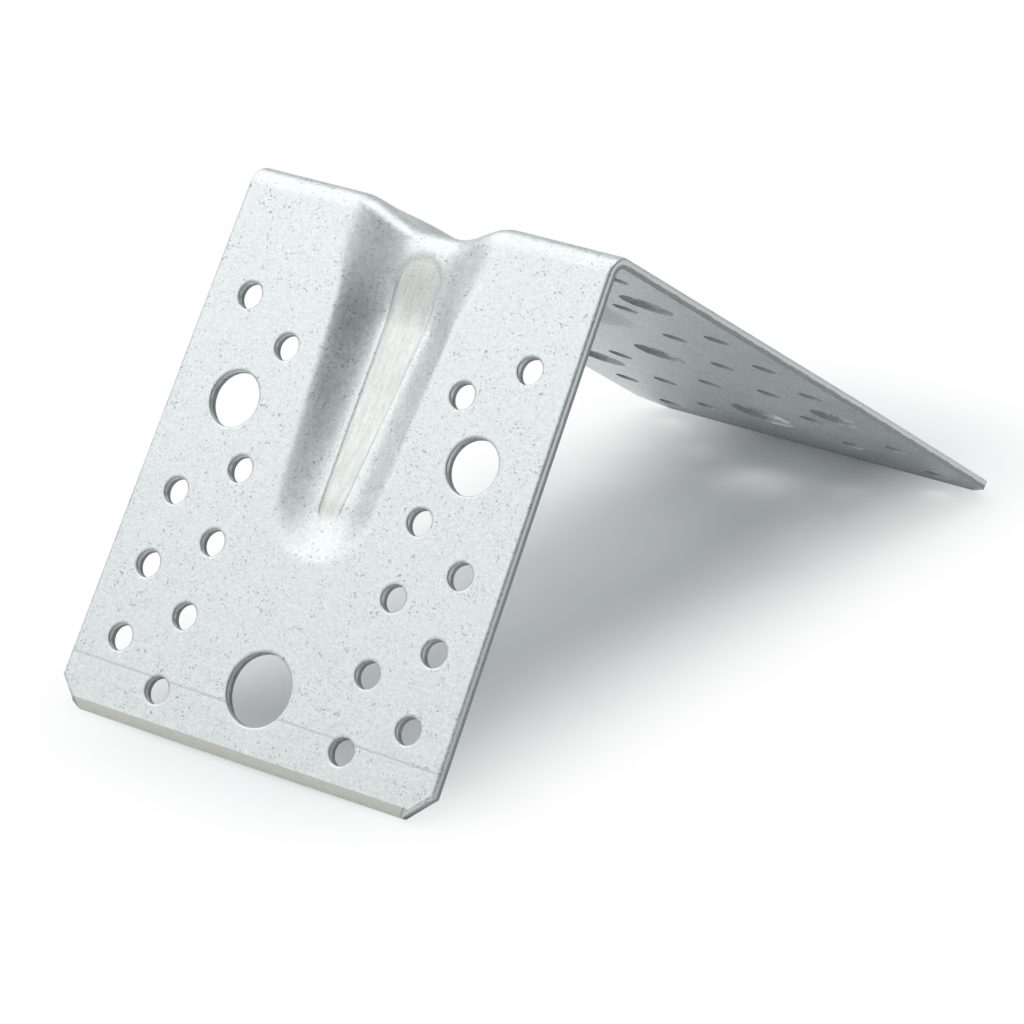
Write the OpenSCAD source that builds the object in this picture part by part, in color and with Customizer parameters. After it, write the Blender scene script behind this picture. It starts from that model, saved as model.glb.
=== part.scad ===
// Reinforced angle bracket with unequal legs, bent from one perforated steel sheet.
// It stands like a tent: the heel on top, the front leg towards -Y, the rear leg towards +Y.
// Both legs rest on the inner edges of their ends. Millimetres, +Z up, X along the bend.

/* [Sheet] */
// Width across the bracket at the ends of the legs
bracket_w = 84; // [80:1:110]
// Thickness of the steel sheet
sheet_t = 2; // [1.5:0.1:3]
// Outer radius of the bend
bend_r = 4; // [4:0.5:8]
// Size of the cut corners at the ends of both legs
corner_cut = 5; // [2:0.5:6]
// Width that pressing the rib draws in on each side at the heel
draw_in = 1.9; // [0:0.1:2.5]

/* [Front leg] */
// Length of the front leg, from the sharp outer heel
front_l = 104; // [100:1:140]
// Distance between staggered rows of nail holes
front_pitch = 7; // [6.5:0.5:9]
// Number of staggered rows of nail holes, counted from the end of the leg
front_rows = 7; // [3:1:7]
// Distance of the two bolt holes from the heel
front_bolt_s = 42.7; // [38:0.1:46]
// Distance of the big hole's centre from the end of the leg
front_big_end = 13.2; // [11:0.2:16]
// Distance of the upper outer nail holes from the heel
upper_outer_s = 23.9; // [20:0.1:28]
// Distance of the upper inner nail holes from the heel
upper_inner_s = 31.2; // [28:0.1:34]

/* [Rear leg] */
// Length of the rear leg, from the sharp outer heel
rear_l = 155; // [150:1:190]
// Distance between staggered rows of nail holes
rear_pitch = 9.35; // [8.5:0.05:10]
// Distance of the big hole's centre from the end of the leg
rear_big_end = 24.6; // [22:0.2:28]
// Distance of the single nail hole on the centre line from the end of the leg
rear_nail_end = 47.5; // [44:0.5:52]
// Distance of the bolt hole on the centre line from the end of the leg
rear_bolt_end = 68.4; // [64:0.2:70]

/* [Holes] */
// Diameter of the nail holes
nail_d = 5; // [4:0.5:6]
// Diameter of the bolt holes
bolt_d = 10.5; // [8.5:0.5:12.5]
// Diameter of the big hole near the end of each leg
big_d = 13.5; // [10.5:0.5:14.5]
// Distance of the bolt holes from the centre line
bolt_x = 27.8; // [25:0.2:30]
// Distance of the front leg's inner nail columns from the centre line
front_inner_x = 21; // [19:0.5:23]
// Distance of the front leg's outer nail columns from the centre line
front_outer_x = 32.75; // [30:0.25:34]
// Distance of the rear leg's inner nail columns from the centre line
rear_inner_x = 17.5; // [17:0.5:22]
// Distance of the rear leg's outer nail columns from the centre line
rear_outer_x = 32.25; // [30:0.25:34]
// Distance of the last nail holes from the ends of the legs
end_margin = 7.5; // [6:0.5:10]

/* [Rib] */
// Width of the rib's opening on the outer faces of the legs
rib_w = 26; // [20:1:28]
// Width of the rib's opening at the heel
rib_heel_w = 32; // [26:1:36]
// Width of the rib's flat floor at the heel
rib_heel_floor_w = 8; // [4:0.5:12]
// Width of the rib's flat floor where it is deepest
rib_floor_w = 9.5; // [6:0.5:12]
// Width of the rib's flat floor at its tips
rib_tip_w = 5; // [3:0.5:8]
// Depth of the rib at the heel
rib_heel_depth = 3.5; // [2:0.25:5]
// Greatest depth of the rib, just past the bend on both legs
rib_depth = 4.8; // [3:0.1:6]
// Depth of the rib where its end walls begin
rib_tip_depth = 2.2; // [1:0.1:3]
// Length over which the rib deepens past the bend
rib_swell_l = 8; // [5:1:14]
// Distance of the rib's tips from the heel
rib_l = 66; // [50:1:72]
// Length of the rib's rounded end walls
rib_end_l = 8; // [6:1:16]

/* [Hidden] */

// Steps of the rib's skins: across, along each leg and round the bend
across_steps = 28;
leg_steps = 24;
bend_steps = 12;
// Segments of a full circle
round_fn = 96;

// Tilt that brings the inner edges of both ends level
lean = atan2(front_l - sheet_t, rear_l - sheet_t);
heel_z = sheet_t * sin(lean) + front_l * cos(lean);
heel_y = (front_l * sin(lean) - rear_l * cos(lean)) / 2;

// The sides taper from the bend to the front leg's cut corners, and as far on the rear leg
taper_l = front_l - corner_cut;
// The rib keeps its section round the bend up to here
heel_s = bend_r + rib_heel_depth;
// The rib is deepest here
deep_s = heel_s + rib_swell_l;
// The rib's end walls start here
end_s = rib_l - rib_end_l;

// Distance from the centre line, at s from the heel, of what lay x from it before the rib was pressed
function drawn(x, s) = x - draw_in * max(0, 1 - s / taper_l);

// S-shaped ramp from 0 to 1
function ease(t) = let (c = min(1, max(0, t))) c * c * (3 - 2 * c);

// Value at s that goes from heel to deep over the rib's swell, then evenly to tip at the end wall
function changing(s, heel, deep, tip) =
    let (along = min(1, max(0, (s - deep_s) / (end_s - deep_s))))
    heel + (deep - heel) * ease((s - heel_s) / rib_swell_l) + (tip - deep) * along;

// Half of the opening's width, width of the floor and depth of the floor at s
function half_w(s) = changing(s, rib_heel_w, rib_w, rib_w) / 2;
function floor_w(s) = changing(s, rib_heel_floor_w, rib_floor_w, rib_tip_w);
function floor_depth(s) = changing(s, rib_heel_depth, rib_depth, rib_tip_depth);

// Share of the floor's depth at s and at the part u of the half width: 1 on the floor, 0 outside the opening
function share(u, s) =
    let (floor_u = floor_w(s) / half_w(s) / 2)
    ease((1 - norm([u, max(0, s - end_s) / rib_end_l])) / (1 - floor_u));

// Distance that the sheet is pressed in
function pressed(u, s) = floor_depth(s) * share(u, s);

// Points [distance across, distance from the heel, depth] of one leg's part of a skin, from the tip to the bend
function leg_line(u, inset) =
    let (start = bend_r + pressed(u, 0))
    [for (i = [0 : leg_steps - 1])
        let (s = start + (rib_l - start) * (1 + cos(180 * i / leg_steps)) / 2)
        [u * half_w(s), s, inset + pressed(u, s)]];

// Points [distance from the heel, depth] of a skin round the bend, from the front leg to the rear leg
function bend_line(u, inset) =
    let (centre = bend_r + pressed(u, 0), r = bend_r - inset)
    [for (i = [0 : bend_steps])
        let (a = 90 * i / bend_steps)
        [centre - r * sin(a), centre - r * cos(a)]];

function reversed(list) = [for (i = [len(list) - 1 : -1 : 0]) list[i]];

// One line of a skin at u, from the front leg's tip of the rib over the heel to the rear leg's
function skin_line(u, inset) = concat(
    [for (p = leg_line(u, inset)) [p.x, p.z, -p.y]],
    [for (p = bend_line(u, inset)) [u * half_w(0), p.y, -p.x]],
    [for (p = reversed(leg_line(u, inset))) [p.x, p.y, -p.z]]
);

// Strip of sheet that holds the rib: one ring of points at each u, round both of its skins
module ribbed_strip() {
    rings = [for (j = [0 : across_steps])
        let (u = 2 * j / across_steps - 1)
        concat(skin_line(u, 0), reversed(skin_line(u, sheet_t)))];
    n = len(rings[0]);
    half = n / 2;
    polyhedron(
        points = [for (ring = rings) each ring],
        faces = concat(
            [for (j = [0 : across_steps - 1], i = [0 : n - 1], upper = [0, 1])
                let (a = j * n + i, b = j * n + (i + 1) % n)
                upper == 0 ? [a, b, a + n] : [b, b + n, a + n]],
            [for (j = [0, across_steps], i = [0 : half - 2], upper = [0, 1])
                let (a = j * n + i, b = j * n + n - 1 - i)
                let (face = upper == 0 ? [a, b, a + 1] : [a + 1, b, b - 1])
                j == 0 ? face : reversed(face)]
        )
    );
}

// Outline of one leg laid flat, with y as the distance from the heel
module leg_outline(l) {
    side = concat(
        [[drawn(bracket_w / 2, bend_r), bend_r]],
        l - corner_cut > taper_l ? [[bracket_w / 2, taper_l]] : [],
        [[bracket_w / 2, l - corner_cut], [bracket_w / 2 - corner_cut, l]]
    );
    polygon(concat(side, [for (p = reversed(side)) [-p.x, p.y]]));
}

// Part of a leg that the ribbed strip takes
module rib_window() {
    side = leg_line(1, 0);
    polygon(concat(
        [[half_w(0), bend_r]],
        [for (p = reversed(side)) [p.x, p.y]],
        [for (p = side) [-p.x, p.y]],
        [[-half_w(0), bend_r]]
    ));
}

// A pair of holes on both sides of the centre line
module hole_pair(x, s, d) {
    for (side = [-1, 1])
        translate([side * drawn(x, s), s])
            circle(d = d, $fn = round_fn);
}

module centre_hole(s, d) {
    translate([0, s])
        circle(d = d, $fn = round_fn);
}

// Front leg: staggered nail holes from the end upwards, two bolt holes and one big hole
module front_blank() {
    difference() {
        leg_outline(front_l);
        rib_window();
        for (i = [0 : front_rows - 1])
            hole_pair(
                i % 2 == 0 ? front_inner_x : front_outer_x,
                front_l - end_margin - i * front_pitch,
                nail_d
            );
        hole_pair(front_inner_x, upper_inner_s, nail_d);
        hole_pair(front_outer_x, upper_outer_s, nail_d);
        hole_pair(bolt_x, front_bolt_s, bolt_d);
        centre_hole(front_l - front_big_end, big_d);
    }
}

// Distance from the heel of the rear leg's staggered row i, counted from its end
function rear_row(i) = rear_l - end_margin - i * rear_pitch;

// Rear leg: staggered nail holes, bolt holes in two of the outer rows, and three holes on the centre line
module rear_blank() {
    difference() {
        leg_outline(rear_l);
        rib_window();
        for (i = [0, 2, 6, 8, 10, 14])
            hole_pair(rear_outer_x, rear_row(i), nail_d);
        for (i = [1 : 2 : 11])
            hole_pair(rear_inner_x, rear_row(i), nail_d);
        for (i = [4, 12])
            hole_pair(bolt_x, rear_row(i), bolt_d);
        centre_hole(rear_l - rear_big_end, big_d);
        centre_hole(rear_l - rear_nail_end, nail_d);
        centre_hole(rear_l - rear_bolt_end, bolt_d);
    }
}

// Bend beside the rib, from one side of the rib's strip to the edge of the sheet
module bend_wing() {
    edge_x = half_w(0);
    section = concat(bend_line(1, 0), reversed(bend_line(1, sheet_t)));
    translate([edge_x, 0, 0])
        rotate([90, 0, 90])
            linear_extrude(drawn(bracket_w / 2, bend_r) - edge_x)
                polygon([for (p = section) [p.y, -p.x]]);
}

// The bracket with the sharp outer heel at the origin, the front leg down -Z and the rear leg along +Y
module bent_sheet() {
    rotate([-90, 0, 0])
        linear_extrude(sheet_t)
            front_blank();
    mirror([0, 0, 1])
        linear_extrude(sheet_t)
            rear_blank();
    bend_wing();
    mirror([1, 0, 0])
        bend_wing();
    ribbed_strip();
}

module angle_bracket() {
    color("gainsboro")
        translate([0, heel_y, heel_z])
            rotate([-lean, 0, 0])
                bent_sheet();
}

angle_bracket();
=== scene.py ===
import math

import bpy
import numpy as np
from mathutils import Matrix, Vector
from mathutils.geometry import delaunay_2d_cdt


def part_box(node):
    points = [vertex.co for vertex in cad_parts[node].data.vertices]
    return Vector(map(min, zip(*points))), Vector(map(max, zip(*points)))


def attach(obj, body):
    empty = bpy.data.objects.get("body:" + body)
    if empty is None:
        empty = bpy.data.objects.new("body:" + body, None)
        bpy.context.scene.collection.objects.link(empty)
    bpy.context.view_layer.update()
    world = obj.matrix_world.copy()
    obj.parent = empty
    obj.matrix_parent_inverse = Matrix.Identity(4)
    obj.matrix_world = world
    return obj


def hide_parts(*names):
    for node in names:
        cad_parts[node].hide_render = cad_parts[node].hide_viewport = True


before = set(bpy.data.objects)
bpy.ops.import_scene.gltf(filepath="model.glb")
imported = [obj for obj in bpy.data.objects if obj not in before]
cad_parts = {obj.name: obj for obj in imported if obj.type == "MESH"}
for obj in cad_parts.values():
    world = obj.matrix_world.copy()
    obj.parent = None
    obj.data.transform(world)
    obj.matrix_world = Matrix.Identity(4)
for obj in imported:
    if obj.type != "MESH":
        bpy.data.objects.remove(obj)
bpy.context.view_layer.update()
print("frame loaded", list(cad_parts))

lo, hi = [Vector(v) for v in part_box("angle_bracket")]
mm = 0.001


class Sock:
    # wraps an output socket, so that arithmetic on it adds Math nodes to its tree
    def __init__(self, tree, out):
        self.tree = tree
        self.out = out

    def math(self, operation, other=None, flip=False):
        # one Math node; flip puts this socket second
        values = [self] if other is None else [self, other]
        if flip:
            values.reverse()
        return self.tree.node("ShaderNodeMath", {"operation": operation}, dict(enumerate(values)))

    def __add__(self, other):
        return self.math("ADD", other)

    def __mul__(self, other):
        return self.math("MULTIPLY", other)

    def __sub__(self, other):
        return self.math("SUBTRACT", other)

    def __rsub__(self, other):
        return self.math("SUBTRACT", other, flip=True)

    def __pow__(self, other):
        return self.math("POWER", other)

    __radd__ = __add__
    __rmul__ = __mul__

    def clamp(self, low=0.0, high=1.0):
        return self.math("MAXIMUM", low).math("MINIMUM", high)

    def ramp(self, start, end):
        # 0 below start, 1 above end, smooth between
        return self.tree.node("ShaderNodeMapRange", {"interpolation_type": "SMOOTHSTEP"},
                              {0: self, 1: start, 2: end})

    def mix(self, colourA, colourB):
        # colour A where this socket is 0, colour B where it is 1
        return self.tree.mixColours(self, colourA, colourB)


class Tree:
    # one material's or the world's nodes
    def __init__(self, owner):
        owner.use_nodes = True
        self.nodes = owner.node_tree.nodes
        self.links = owner.node_tree.links
        self.nodes.clear()

    def put(self, node, key, value):
        target = node.inputs[key]
        if isinstance(value, Sock):
            self.links.new(value.out, target)
        else:
            target.default_value = value

    def node(self, kind, settings=None, values=None, out=0):
        # type, then its settings, then the values or links of its sockets
        made = self.nodes.new(kind)
        for key, value in (settings or {}).items():
            setattr(made, key, value)
        for key, value in (values or {}).items():
            self.put(made, key, value)
        return Sock(self, made.outputs[out]) if len(made.outputs) else made

    def mixColours(self, factor, colourA, colourB):
        return self.node("ShaderNodeMix", {"data_type": "RGBA"}, {0: factor, 6: colourA, 7: colourB}, out=2)

    def noise(self, where, scale, detail, roughness):
        return self.node("ShaderNodeTexNoise", {}, {
            "Vector": where, "Scale": scale, "Detail": detail, "Roughness": roughness})

    def stretched(self, where, scales):
        return self.node("ShaderNodeVectorMath", {"operation": "MULTIPLY"}, {0: where, 1: scales})

    def part(self, where, axis):
        # one coordinate of a vector: 0, 1 or 2
        return self.node("ShaderNodeSeparateXYZ", {}, {0: where}, out=axis)


# the bracket, one pressed and folded sheet: sizes in millimetres
bracket = {
    "width": 84.0, "thick": 2.0, "bend": 4.0, "cut": 5.0, "drawIn": 1.9,
    "front": 104.0, "rear": 155.0,
    "edgeRollWidth": 0.6, "edgeRollDrop": 0.4,      # rounding of the sheared outer edge
    "holeRollWidth": 0.5, "holeRollDrop": 0.25,     # and of the punched rims
    "bevelWidth": 1.8, "bevelDrop": 1.7,            # slanted cut of the short leg's end
    # the rib's opening, floor and depth: at the heel, where it is deepest, and at its tips
    "ribWidth": (33.5, 26.0, 22.0), "ribFloor": (6.5, 9.0, 4.4), "ribDepth": (3.5, 4.7, 1.9),
    "ribSwell": 14.0, "ribLength": 67.0, "ribEnd": 12.0,
    "wallPower": 0.8,                               # under 1, the walls are steepest near the opening
    # the coined strip on the rib's floor; its half widths are at the heel's end and at the tip
    "coinDepth": 0.16, "coinStep": 0.6, "coinFrom": 8.0, "coinTo": 59.2, "coinHalf": (5.0, 2.6),
    # radii of the holes, then their rows and columns
    "nail": 2.5, "bolt": 5.25, "big": 6.75, "margin": 7.5, "boltX": 27.8,
    "frontPitch": 7.0, "frontInner": 21.0, "frontOuter": 32.75, "frontBolt": 42.7, "frontBig": 13.2,
    "upperOuter": 23.9, "upperInner": 31.2,
    "rearPitch": 9.35, "rearInner": 17.5, "rearOuter": 32.25,
    "rearBig": 24.6, "rearNail": 47.5, "rearBolt": 68.4,
    # steps of the mesh: coarse, over the rib, along the edges, round the bend and round the holes
    "gridStep": 2.4, "ribStep": 0.7, "edgeStep": 1.3, "bendSteps": 20, "nailSteps": 36, "boltSteps": 84,
    # rings beside every edge, as shares of its rounding's width, and the ones that keep their lines
    "rings": (0, 0.05, 0.16, 0.34, 0.6, 0.99, 1.0), "keptRings": (0, 0.99, 1.0),
    # rows down the cut edge: share of its height, how far it is set back, and its mark
    "wallRows": ((0.08, 0, 1), (0.42, 0, 1), (0.5, 0.09, 2), (0.75, 0.13, 2), (0.97, 0.10, 2)),
    "sharpAngle": 40.0,
}
# what the attribute cutEdge says: skin 0, rim of a hole (where a dark ring of painted shade goes), smooth
# sheared band 1, rough broken band 2 and the slanted end
rimShadeMark, endMark = 0.28, 3.0
uvUnit = 100.0                                      # millimetres of flat sheet per unit of its UV map

halfArc = bracket["bend"] * math.pi / 4
taperLength = bracket["front"] - bracket["cut"]
lean = math.atan2(bracket["front"] - bracket["thick"], bracket["rear"] - bracket["thick"])
# the sharp heel's place, from the box that the legs stand in
heelY = lo.y / mm + bracket["front"] * math.sin(lean)
heelZ = bracket["thick"] * math.sin(lean) + bracket["front"] * math.cos(lean)
# distances from the heel where the rib starts to deepen, is deepest, and starts to close
heelS = bracket["bend"] + bracket["ribDepth"][0]
deepS = heelS + bracket["ribSwell"]
endS = bracket["ribLength"] - bracket["ribEnd"]


def drawn(x, s):
    # pressing the rib pulls the sheet towards the centre line, most at the heel
    return x - np.sign(x) * bracket["drawIn"] * np.maximum(0, 1 - s / taperLength)


def ease(t):
    # S-shaped ramp: three t squared less two t cubed
    t = np.clip(t, 0, 1)
    return t * t * (3 - 2 * t)


def changing(s, sizes):
    # from the heel's size to the deepest section's over the swell, then evenly to the tip's
    heel, deep, tip = sizes
    swell = (deep - heel) * ease((s - heelS) / bracket["ribSwell"])
    return heel + swell + (tip - deep) * np.clip((s - deepS) / (endS - deepS), 0, 1)


def coinDistance(x, s):
    # distance inside the coined strip's outline, a long tapered bar with round ends
    near, far = bracket["coinHalf"]
    start, end = bracket["coinFrom"] + near, bracket["coinTo"] - far
    along = (s - bracket["coinFrom"] - near) / (bracket["coinTo"] - far - bracket["coinFrom"] - near)
    half = near + (far - near) * np.clip(along, 0, 1)
    return half - np.hypot(x, s - np.clip(s, start, end))


def pressed(x, s):
    # depth of the rib: the floor's depth times an S-shaped ramp from the opening to the floor
    half = changing(s, bracket["ribWidth"]) / 2
    floor = changing(s, bracket["ribFloor"]) / 2 / half
    u = np.hypot(x / half, np.maximum(0, s - endS) / bracket["ribEnd"])
    power = 1 + (bracket["wallPower"] - 1) * ease((s - heelS) / bracket["ribSwell"])
    t = np.clip((1 - u) / (1 - floor), 0, 1) ** power
    return changing(s, bracket["ribDepth"]) * ease(t)


def legDistance(x, l):
    # distance from the sharp heel: the rib pushes the end of the bend down the leg
    bend, length = bracket["bend"], bracket["ribLength"]
    start = bend + pressed(x, 0 * x)
    s = bend + np.abs(l) - halfArc
    return np.where(s < length, start + (length - start) * (s - bend) / (length - bend), s)


def place(x, l, z, coined=False):
    # x across, l along the outer face from the heel's middle (front leg negative), z into the sheet.
    # On a leg the point lies z plus the rib's depth under the outer face; round the bend it lies on an
    # arc of radius bend - z, whose centre the rib pushes inwards along both legs.
    bend = bracket["bend"]
    s = legDistance(x, l)
    depth = pressed(x, s) + z
    if coined:
        depth = depth + bracket["coinDepth"] * ease(coinDistance(x, s) / bracket["coinStep"])
    angle = math.pi / 4 + l / bend
    centre = bend + pressed(x, 0 * x)
    radius = bend - z
    onArc = np.abs(l) < halfArc
    # y runs down the rear leg's direction, w down the front leg's
    y = np.where(onArc, centre - radius * np.cos(angle), np.where(l < 0, depth, s))
    w = np.where(onArc, centre - radius * np.sin(angle), np.where(l < 0, s, depth))
    c, n = math.cos(lean), math.sin(lean)
    return np.stack([x, y * c - w * n + heelY, heelZ - y * n - w * c], -1) * mm


def lengthAt(s, leg):
    # length along the outer face from the heel's middle; leg is -1 in front and 1 behind
    return leg * (s - bracket["bend"] + halfArc)


def holeList():
    # x, s, radius and leg of every hole
    b = bracket
    found = []

    def pair(x, s, r, leg):
        at = float(drawn(np.array(x), s))
        found.append((at, s, r, leg))
        found.append((-at, s, r, leg))

    for i in range(7):
        pair(b["frontInner"] if i % 2 == 0 else b["frontOuter"],
             b["front"] - b["margin"] - i * b["frontPitch"], b["nail"], -1)
    pair(b["frontInner"], b["upperInner"], b["nail"], -1)
    pair(b["frontOuter"], b["upperOuter"], b["nail"], -1)
    pair(b["boltX"], b["frontBolt"], b["bolt"], -1)
    found.append((0.0, b["front"] - b["frontBig"], b["big"], -1))
    rowAt = [b["rear"] - b["margin"] - i * b["rearPitch"] for i in range(15)]
    for i in (0, 2, 6, 8, 10, 14):
        pair(b["rearOuter"], rowAt[i], b["nail"], 1)
    for i in range(1, 12, 2):
        pair(b["rearInner"], rowAt[i], b["nail"], 1)
    for i in (4, 12):
        pair(b["boltX"], rowAt[i], b["bolt"], 1)
    for key, r in (("rearBig", "big"), ("rearNail", "nail"), ("rearBolt", "bolt")):
        found.append((0.0, b["rear"] - b[key], b[r], 1))
    return found


def rollDrop(q, drop):
    # quarter of an ellipse: the whole drop at the edge, nothing at q = 1
    return drop * (1 - math.sqrt(max(0.0, 1 - (1 - q) ** 2)))


def outlineRing(q):
    # the flat sheet's outline, each side moved inwards by the share q of its own edge width
    w, cut = bracket["width"] / 2, bracket["cut"]
    waist = float(drawn(np.array(w), bracket["bend"]))
    front, rear = lengthAt(bracket["front"], -1), lengthAt(bracket["rear"], 1)
    right = [(w - cut, front), (w, front + cut), (waist, -halfArc), (waist, halfArc),
             (w, lengthAt(taperLength, 1)), (w, rear - cut), (w - cut, rear)]
    corner = np.array(right + [(-x, l) for x, l in reversed(right)])
    side = np.roll(corner, -1, 0) - corner
    count = np.ceil(np.hypot(*side.T) / bracket["edgeStep"]).astype(int)
    count[[2, 10]] = bracket["bendSteps"]           # the two sides round the bend
    width = np.full(len(corner), bracket["edgeRollWidth"])
    drop = np.full(len(corner), rollDrop(q, bracket["edgeRollDrop"]))
    width[-1] = bracket["bevelWidth"]               # the last side is the short leg's end
    drop[-1] = bracket["bevelDrop"] * (1 - q)
    normal = np.stack([-side[:, 1], side[:, 0]], -1) / np.hypot(*side.T)[:, None]
    before = np.roll(normal, 1, 0)
    d, dBefore = q * width, q * np.roll(width, 1)
    c = (normal * before).sum(-1)
    shift = (dBefore - d * c)[:, None] * before + (d - dBefore * c)[:, None] * normal
    moved = corner + shift / (1 - c * c)[:, None]
    ends = np.roll(moved, -1, 0)
    ring = np.concatenate([a + (b - a) * (np.arange(k) / k)[:, None]
                           for a, b, k in zip(moved, ends, count)])
    isEnd = np.repeat(np.arange(len(corner)) == len(corner) - 1, count)
    return ring, np.repeat(drop, count), np.where(isEnd & (q < 1), endMark, 0.0)


def holeRing(hole, q):
    # a circle round the hole, the share q of the rim's rounding outside it
    x, s, r, leg = hole
    k = bracket["nailSteps"] if r < bracket["bolt"] else bracket["boltSteps"]
    turn = np.arange(k) * 2 * math.pi / k
    far = r + q * bracket["holeRollWidth"]
    ring = np.stack([x + far * np.cos(turn), lengthAt(s, leg) - far * np.sin(turn)], -1)
    return ring, np.full(k, rollDrop(q, bracket["holeRollDrop"])), np.full(k, rimShadeMark if q < 0.3 else 0.0)


def coinRings():
    # rings of points that follow the coined strip's outline on both legs
    near, far = bracket["coinHalf"]
    start, end = bracket["coinFrom"] + near, bracket["coinTo"] - far
    v = np.arange(0, 90) / 90
    turn = np.linspace(0, math.pi, 19)
    rings = []
    for d in (-0.35, -0.02, 0.1, 0.225, 0.35, 0.47, 0.8):
        r0, r1 = near - d, far - d
        side = np.stack([r0 + (r1 - r0) * v, start + (end - start) * v], -1)
        tip = np.stack([r1 * np.cos(turn), end + r1 * np.sin(turn)], -1)
        nose = np.stack([-r0 * np.cos(turn), start - r0 * np.sin(turn)], -1)
        ring = np.concatenate([side, tip, side[::-1] * (-1, 1), nose])
        for leg in (-1, 1):
            rings.append(np.stack([ring[:, 0], leg * (ring[:, 1] - bracket["bend"] + halfArc)], -1))
    return np.concatenate(rings)


def edgePoints(loops):
    # every loop's rings, the lines that the triangles must keep, and the points on the edges themselves
    points, drops, marks, lines, loopIds = [], [], [], [], []
    total = 0
    for ring, _ in loops:
        for q in bracket["rings"]:
            p, drop, mark = ring(q)
            points.append(p)
            drops.append(drop)
            marks.append(mark)
            ids = total + np.arange(len(p))
            if q == 0:
                loopIds.append(ids)
            if q in bracket["keptRings"]:
                lines.append(np.stack([ids, np.roll(ids, -1)], -1))
            total += len(p)
    return [np.concatenate(part) for part in (points, drops, marks, lines)] + [loopIds]


def grid(xs, ls):
    return np.stack(np.meshgrid(xs, ls), -1).reshape(-1, 2)


def innerPoints(allHoles):
    # a fine grid over the rib, rows round the bend and a coarse grid elsewhere, clear of all edges
    g, f = bracket["gridStep"], bracket["ribStep"]
    ribX, ribL = bracket["ribWidth"][0] / 2 + 1, lengthAt(bracket["ribLength"] + 1, 1)
    front, rear = lengthAt(bracket["front"], -1), lengthAt(bracket["rear"], 1)
    fine = grid(np.arange(-ribX, ribX + f / 2, f), np.arange(-ribL, ribL + f / 2, f))
    fineS = bracket["bend"] + np.abs(fine[:, 1]) - halfArc
    fine = fine[np.abs(coinDistance(fine[:, 0], fineS) - bracket["coinStep"] / 2) > 0.75]
    coarse = grid(np.arange(-40.8, 41, g), np.arange(front + 2, rear - 1, g))
    coarse[:, 0] += 0.31 * g * np.sin(coarse[:, 1] * 7.3)
    arc = grid(np.arange(-38.5, 39, 2.75), np.linspace(-halfArc - 0.6, halfArc + 0.6, 27))
    inRib = (np.abs(coarse[:, 0]) < ribX + 0.4 * g) & (np.abs(coarse[:, 1]) < ribL + 0.4 * g)
    inArc = np.abs(coarse[:, 1]) < halfArc + 0.6 + 0.4 * g
    arc = arc[np.abs(arc[:, 0]) > ribX + 0.8]
    inner = np.concatenate([fine, coarse[~(inRib | inArc)], arc, coinRings()])
    x, l = inner.T
    keep = np.ones(len(inner), bool)
    for holeX, s, r, leg in allHoles:
        keep &= np.hypot(x - holeX, l - lengthAt(s, leg)) > r + bracket["holeRollWidth"] + 0.4
    room = bracket["edgeRollWidth"] + 0.5
    sAt = bracket["bend"] + np.maximum(0, np.abs(l) - halfArc)
    halfAt = drawn(np.full(len(inner), bracket["width"] / 2), sAt) - bracket["edgeRollWidth"] - 0.5
    endRoom = np.minimum(rear - l, l - front)
    keep &= (np.abs(x) < halfAt) & (endRoom > room)
    keep &= l > front + bracket["bevelWidth"] + 0.5
    keep &= bracket["width"] / 2 - np.abs(x) + endRoom > bracket["cut"] + 3.2
    return inner[keep]


def flatTriangles(flat, lines, loopIds):
    # Delaunay triangles that keep the lines, without the ones that fill a hole, all one way round
    _, _, faces, origin, _, _ = delaunay_2d_cdt(
        [Vector(p) for p in flat.tolist()], lines.tolist(), [], 1, 1e-6)
    source = np.array([o[0] if o else -1 for o in origin])
    tri = source[np.array(faces)]
    # a triangle fills a hole when its three corners lie on that hole's rim
    rimOf = np.full(len(flat), -1)
    for k, ids in enumerate(loopIds[1:]):
        rimOf[ids] = k
    corner = rimOf[tri]
    filled = (corner[:, 0] >= 0) & (corner[:, 0] == corner[:, 1]) & (corner[:, 1] == corner[:, 2])
    tri = tri[~filled]
    a, b, c = flat[tri[:, 0]], flat[tri[:, 1]], flat[tri[:, 2]]
    turn = (b[:, 0] - a[:, 0]) * (c[:, 1] - a[:, 1]) - (b[:, 1] - a[:, 1]) * (c[:, 0] - a[:, 0])
    tri[turn < 0] = tri[turn < 0][:, ::-1]
    print("flat sheet", len(flat), "points", len(tri), "triangles")
    return tri


def raggedness(base, firstId, r):
    # how the broken band's edge wanders round the loop, and the chips in the bigger holes
    k = len(base)
    turn = np.arange(k) * 2 * math.pi / k
    if r:
        wave = np.sin(turn * 3 + r * 5) * np.sin(turn * 5 + firstId)
    else:
        l = base[:, 1]
        wave = 0.4 * np.sin(l * 0.83) * np.sin(l * 0.31 + 1) + 0.25 * np.sin(l * 2.9)
    chips = np.maximum(0, np.sin(turn * 17 + 1) * np.sin(turn * 29)) ** 2 if r > 4 else 0 * turn
    return wave, chips


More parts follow.
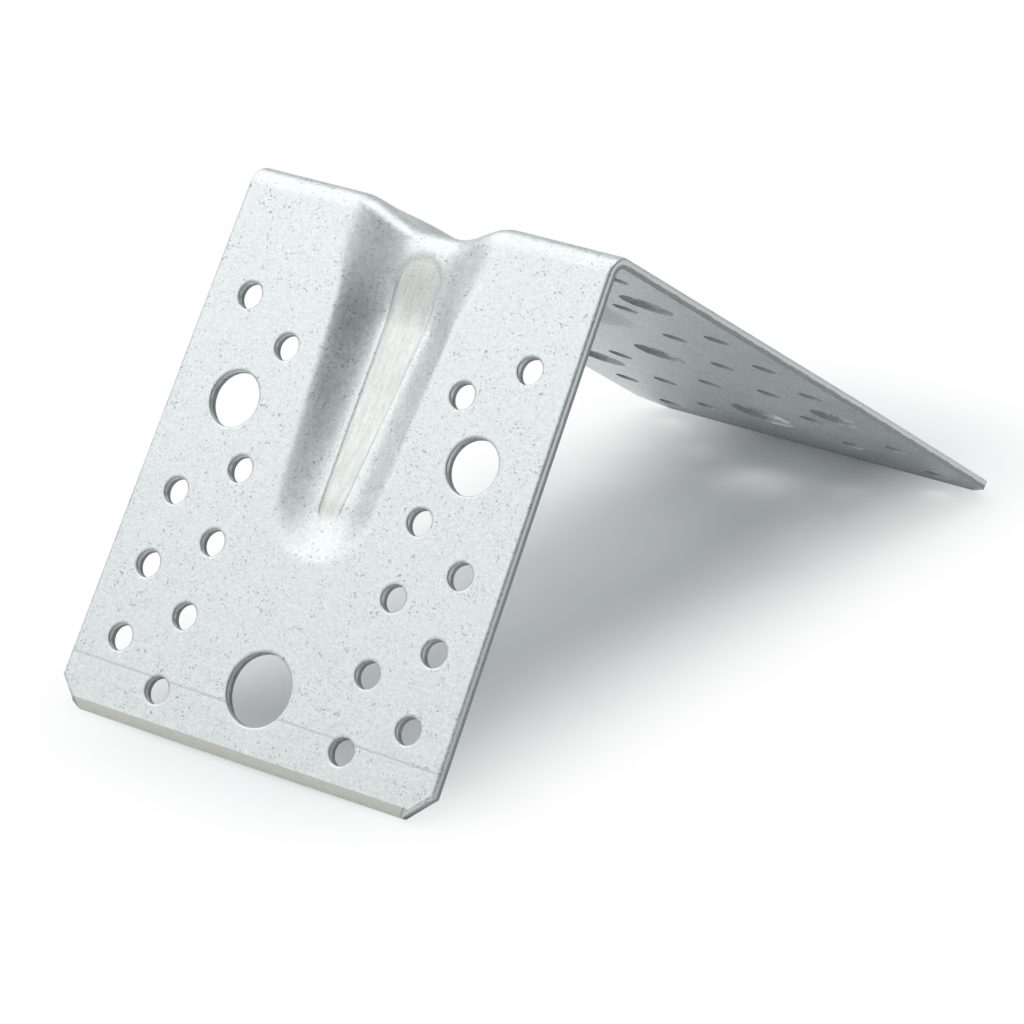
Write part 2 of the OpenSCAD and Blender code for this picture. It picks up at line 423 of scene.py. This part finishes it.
def cutWall(ring, r, ids, used, n):
    # rows down the cut edge from the outer skin to the inner one: the smooth sheared band, then the
    # rougher broken band, a little set back
    k = len(ids)
    base, dropAt, _ = ring(0.0)
    moved = ring(1.0)[0]
    wave, chips = raggedness(base, ids[0], r)
    verts, uv, marks, faces = [], [], [], []
    rows = [ids]
    for share, back, mark in bracket["wallRows"]:
        wander = 0.12 * wave - 0.1 * chips if 0.2 < share < 0.6 else 0
        z = dropAt + (bracket["thick"] - dropAt) * (share + wander)
        p = base + (moved - base) * (back * (1 + 0.7 * wave + 3 * chips))[:, None]
        verts.append(place(p[:, 0], p[:, 1], z))
        uv.append(p)
        marks.append(np.full(k, float(mark)))
        rows.append(used + np.arange(k))
        used += k
    rows.append(ids + n)
    for top, low in zip(rows[:-1], rows[1:]):
        nextTop, nextLow = np.roll(top, -1), np.roll(low, -1)
        faces.append(np.stack([top, low, nextTop], -1))
        faces.append(np.stack([nextTop, low, nextLow], -1))
    return verts, uv, marks, faces, used


def addAttribute(mesh, name, values):
    made = mesh.attributes.new(name, "FLOAT", "POINT")
    made.data.foreach_set("value", values.astype(np.float32))


def buildSheet():
    allHoles = holeList()
    loops = [(outlineRing, 0.0)]
    loops += [(lambda q, hole=hole: holeRing(hole, q), hole[2]) for hole in allHoles]
    flat, drop, marks, lines, loopIds = edgePoints(loops)
    inner = innerPoints(allHoles)
    flat = np.concatenate([flat, inner])
    drop = np.concatenate([drop, np.zeros(len(inner))])
    marks = np.concatenate([marks, np.zeros(len(inner))])
    tri = flatTriangles(flat, lines, loopIds)

    # both skins, then the cut edges between them
    n = len(flat)
    x, l = flat.T
    verts = [place(x, l, drop, coined=True), place(x, l, np.full(n, bracket["thick"]))]
    faces = [tri, tri[:, ::-1] + n]
    edgeMarks = [marks, np.zeros(n)]
    uv = [flat, flat]
    used = 2 * n
    for (ring, r), ids in zip(loops, loopIds):
        wallVerts, wallUv, wallMarks, wallFaces, used = cutWall(ring, r, ids, used, n)
        verts += wallVerts
        uv += wallUv
        edgeMarks += wallMarks
        faces += wallFaces
    verts, tris, uv = np.concatenate(verts), np.concatenate(faces), np.concatenate(uv)
    coin = ease(coinDistance(uv[:, 0], legDistance(uv[:, 0], uv[:, 1])) / bracket["coinStep"])
    coin[n:] = 0                                    # the outer skin only

    # all faces turn round when the first one looks into the sheet
    a, b, c = verts[tris[0]]
    first = flat[tris[0]]
    outwards = place(*first.T, np.zeros(3))[0] - place(*first.T, np.ones(3))[0]
    if float(np.cross(b - a, c - a) @ outwards) < 0:
        tris = tris[:, ::-1]
    mesh = bpy.data.meshes.new("pressedSheet")
    mesh.from_pydata(verts.tolist(), [], tris.tolist())
    layer = mesh.uv_layers.new(name="flatSheet")
    loopVert = np.empty(len(mesh.loops), int)
    mesh.loops.foreach_get("vertex_index", loopVert)
    layer.data.foreach_set("uv", (uv[loopVert] / uvUnit).ravel())
    addAttribute(mesh, "cutEdge", np.concatenate(edgeMarks))
    addAttribute(mesh, "coined", coin)
    mesh.polygons.foreach_set("use_smooth", [True] * len(mesh.polygons))
    mesh.set_sharp_from_angle(angle=math.radians(bracket["sharpAngle"]))
    mesh.update()
    piece = bpy.data.objects.new("pressed_sheet", mesh)
    bpy.context.collection.objects.link(piece)
    print("sheet piece", len(verts), "vertices", len(tris), "triangles")
    return piece


# the zinc coating and the bare cut edges
zinc = {
    "light": (0.84, 0.86, 0.85, 1), "dark": (0.67, 0.70, 0.695, 1), "speck": (0.32, 0.34, 0.345, 1),
    "coined": (0.69, 0.70, 0.66, 1), "streak": (0.52, 0.53, 0.50, 1),
    "sheared": (0.68, 0.70, 0.70, 1), "broken": (0.40, 0.41, 0.405, 1),
    # rim: a dark ring of painted shade round the edge of every hole
    "endCut": (0.80, 0.79, 0.70, 1), "rim": (0.36, 0.38, 0.38, 1), "line": (0.50, 0.52, 0.52, 1),
    "roughness": 0.40, "metal": 0.93, "bumpStrength": 0.5, "bumpDistance": 0.00012,
    # how fine the patterns are, from blotches to grains
    "cloudScale": 130.0, "sparseScale": 300.0, "grainScale": 1100.0, "speckScale": 1900.0,
    "fineScale": 2300.0,
    # stretching of the streaks across and along the sheet
    "coinStretch": (1.3, 0.16, 1.0), "cutStretch": (0.35, 9.0, 1.0),
    # a line marked across the short leg: distance from the heel at the middle, slant, and where it
    # is full and gone on each side
    "lineS": 94.7, "lineSlant": 0.007, "lineHalf": (0.14, 0.36),
}


def zincMaterial():
    material = bpy.data.materials.new("zincCoating")
    t = Tree(material)
    where = t.node("ShaderNodeTexCoord", out=3)
    cloud = t.noise(where, zinc["cloudScale"], 4.0, 0.6)
    grain = t.noise(where, zinc["grainScale"], 4.0, 0.7)
    fine = t.noise(where, zinc["fineScale"], 3.0, 0.65)
    specks = t.noise(where, zinc["speckScale"], 2.0, 0.5).ramp(0.59, 0.68)
    sparse = t.noise(where, zinc["sparseScale"], 2.0, 0.5).ramp(0.36, 0.62)
    mottle = (cloud * 0.2 + grain * 0.45 + fine * 0.35).ramp(0.40, 0.60)
    colour = mottle.mix(zinc["dark"], zinc["light"])
    colour = (specks * sparse * 0.8).mix(colour, zinc["speck"])

    # flat sheet, in millimetres across and along from the heel's middle
    flat = t.node("ShaderNodeUVMap", {"uv_map": "flatSheet"})
    flat = t.stretched(flat, (uvUnit, uvUnit, 0.0))
    across, along = t.part(flat, 0), t.part(flat, 1)
    edge = t.node("ShaderNodeAttribute", {"attribute_name": "cutEdge"}, out=2)
    coined = t.node("ShaderNodeAttribute", {"attribute_name": "coined"}, out=2)
    onSkin = 1.0 - edge.ramp(0.0, 0.4)

    # the coined strip, whiter and streaked along the rib
    streaks = t.noise(t.stretched(flat, zinc["coinStretch"]), 1.0, 5.0, 0.7).ramp(0.30, 0.66)
    coinColour = streaks.mix(zinc["streak"], zinc["coined"])
    colour = (coined * 0.7).mix(colour, coinColour)

    # the marked line
    lineAt = zinc["lineS"] - bracket["bend"] + halfArc
    offLine = (along * -1.0 - lineAt - across * zinc["lineSlant"]).math("ABSOLUTE")
    line = (1.0 - offLine.ramp(*zinc["lineHalf"])) * onSkin
    colour = (line * (0.15 + cloud * 0.6)).mix(colour, zinc["line"])

    # rims, darkened with a ring of painted shade, the two bands of the cut edges and the slanted end
    sheared = edge.ramp(0.3, 0.8)
    broken = edge.ramp(1.2, 1.8)
    endCut = edge.ramp(2.2, 2.8)
    # painted shade: every hole's rim is darkened all round
    rim = edge.ramp(0.05, 0.25) * (1.0 - sheared)
    cutStreaks = t.noise(t.stretched(flat, zinc["cutStretch"]), 1.0, 3.0, 0.6)
    colour = (rim * (0.3 + grain)).clamp().mix(colour, zinc["rim"])
    colour = sheared.mix(colour, zinc["sheared"])
    colour = (broken * (0.5 + grain)).clamp().mix(colour, zinc["broken"])
    colour = (endCut * (0.35 + cutStreaks * 1.1)).clamp().mix(colour, zinc["endCut"])

    rough = zinc["roughness"] + (grain - 0.5) * 0.3 + (cloud - 0.5) * 0.2
    rough = (rough - coined * 0.06 - sheared * 0.1 + broken * 0.25).clamp(0.24, 0.75)
    metal = zinc["metal"] - broken * 0.3 - endCut * 0.45
    height = grain * 0.5 + fine * 0.5 + broken * cutStreaks * 0.8 + coined * streaks * 0.25 - line * 0.2
    bump = t.node("ShaderNodeBump", {}, {
        "Strength": zinc["bumpStrength"], "Distance": zinc["bumpDistance"], "Height": height})
    shader = t.node("ShaderNodeBsdfPrincipled", {}, {
        "Base Color": colour, "Metallic": metal, "Roughness": rough, "Normal": bump})
    t.node("ShaderNodeOutputMaterial", {}, {"Surface": shader})
    print("zinc coating made")
    return material


# the camera

view = {
    "azimuth": 36.69, "elevation": 22.85, "roll": 0.15, "distance": 0.8873, "lens": 167.9,
    "aim": (-0.0001, -0.01175, -0.0222),            # from the middle of the box
}


def makeCamera():
    data = bpy.data.cameras.new("studioCamera")
    data.lens = view["lens"]
    data.sensor_width = 36.0
    data.clip_start = 0.01
    data.clip_end = 50.0
    camera = bpy.data.objects.new("studioCamera", data)
    bpy.context.collection.objects.link(camera)
    az, el = math.radians(view["azimuth"]), math.radians(view["elevation"])
    back = Vector((math.sin(az) * math.cos(el), -math.cos(az) * math.cos(el), math.sin(el)))
    aim = (lo + hi) / 2 + Vector(view["aim"])
    turn = Matrix.Rotation(math.radians(view["roll"]), 4, "Z")
    level = back.to_track_quat("Z", "Y").to_matrix().to_4x4()
    camera.matrix_world = Matrix.Translation(aim + back * view["distance"]) @ level @ turn
    bpy.context.scene.camera = camera
    print("camera placed")


# floor, room light and lamps
studio = {
    "floorSize": 6.0, "floorColour": (0.93, 0.935, 0.94, 1),
    # the floor's white glow: its share under the bracket, where it starts to rise and where it is whole,
    # outside a rectangle of painted shade of these half sizes about this middle, and its share in mirrored
    # rays
    # held back in that rectangle, the glow paints shade on the floor under the bracket, besides the real
    # cast shadow that shows there
    "glowInPaintedShade": 0.04, "liftFrom": 0.0, "liftReach": 0.050,
    "paintedShadeHalf": (0.009, 0.082), "paintedShadeMiddle": (0.0, 0.012), "liftMirrored": 0.15,
    # colours of the room on the left and on the right, and the span of their blend
    "worldLeft": (0.58, 0.61, 0.62, 1), "worldRight": (0.17, 0.195, 0.21, 1), "worldSpan": (-0.25, 0.8),
    # lamps: name, size, power, place and the point they face
    "lamps": (("softboxLeft", (2.2, 1.0), 6.3, (-0.85, -0.15, 0.95), (0, 0, 0.03)),
              ("softboxTop", (0.9, 0.9), 3.2, (0.1, 0.25, 1.25), (0, 0, 0))),
}


def floorMaterial():
    material = bpy.data.materials.new("paleFloor")
    t = Tree(material)
    seen = t.node("ShaderNodeLightPath", out=0)
    glossy = t.node("ShaderNodeLightPath", out=3)
    matt = t.node("ShaderNodeBsdfDiffuse", {}, {"Color": studio["floorColour"]})
    glow = t.node("ShaderNodeEmission", {}, {"Color": (1, 1, 1, 1), "Strength": 1.0})
    # the glow grows with the distance outside the rectangle, so the floor under the bracket is painted
    # darker: painted shade, through which the real cast shadow also shows
    where = t.node("ShaderNodeTexCoord", out=3)
    outside = [((t.part(where, axis) - studio["paintedShadeMiddle"][axis]).math("ABSOLUTE")
                - studio["paintedShadeHalf"][axis]).clamp(0.0, 9.0) for axis in (0, 1)]
    away = (outside[0] ** 2.0 + outside[1] ** 2.0) ** 0.5
    under = studio["glowInPaintedShade"]
    glowShareOutsidePaintedShade = away.ramp(studio["liftFrom"], studio["liftReach"]) * (1 - under) + under
    lift = (seen + glossy * studio["liftMirrored"]).clamp() * glowShareOutsidePaintedShade
    both = t.node("ShaderNodeMixShader", {}, {0: lift, 1: matt, 2: glow})
    t.node("ShaderNodeOutputMaterial", {}, {"Surface": both})
    return material


def makeStudio():
    size = studio["floorSize"]
    mesh = bpy.data.meshes.new("studioFloor")
    mesh.from_pydata([(-size, -size, 0), (size, -size, 0), (size, size, 0), (-size, size, 0)],
                     [], [(0, 1, 2, 3)])
    floor = bpy.data.objects.new("studioFloor", mesh)
    bpy.context.collection.objects.link(floor)
    mesh.materials.append(floorMaterial())

    # soft room light, paler on the left than on the right
    world = bpy.data.worlds.new("studioWorld")
    bpy.context.scene.world = world
    w = Tree(world)
    across = w.part(w.node("ShaderNodeTexCoord", out=0), 0)
    colour = across.ramp(*studio["worldSpan"]).mix(studio["worldLeft"], studio["worldRight"])
    soft = w.node("ShaderNodeBackground", {}, {"Color": colour, "Strength": 1.0})
    w.node("ShaderNodeOutputWorld", {}, {"Surface": soft})
    for lamp in studio["lamps"]:
        addLamp(*lamp)
    print("studio made")


def addLamp(name, size, power, at, target):
    data = bpy.data.lights.new(name, "AREA")
    data.shape = "RECTANGLE"
    data.size, data.size_y = size
    data.energy = power
    lamp = bpy.data.objects.new(name, data)
    bpy.context.collection.objects.link(lamp)
    lamp.location = at
    lamp.rotation_euler = (Vector(target) - Vector(at)).to_track_quat("-Z", "Y").to_euler()


makeCamera()
makeStudio()

sheetPiece = buildSheet()
sheetPiece.data.materials.append(zincMaterial())
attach(sheetPiece, "root")
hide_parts("angle_bracket")

scene = bpy.context.scene
scene.view_settings.view_transform = "Standard"

print("scene ready")
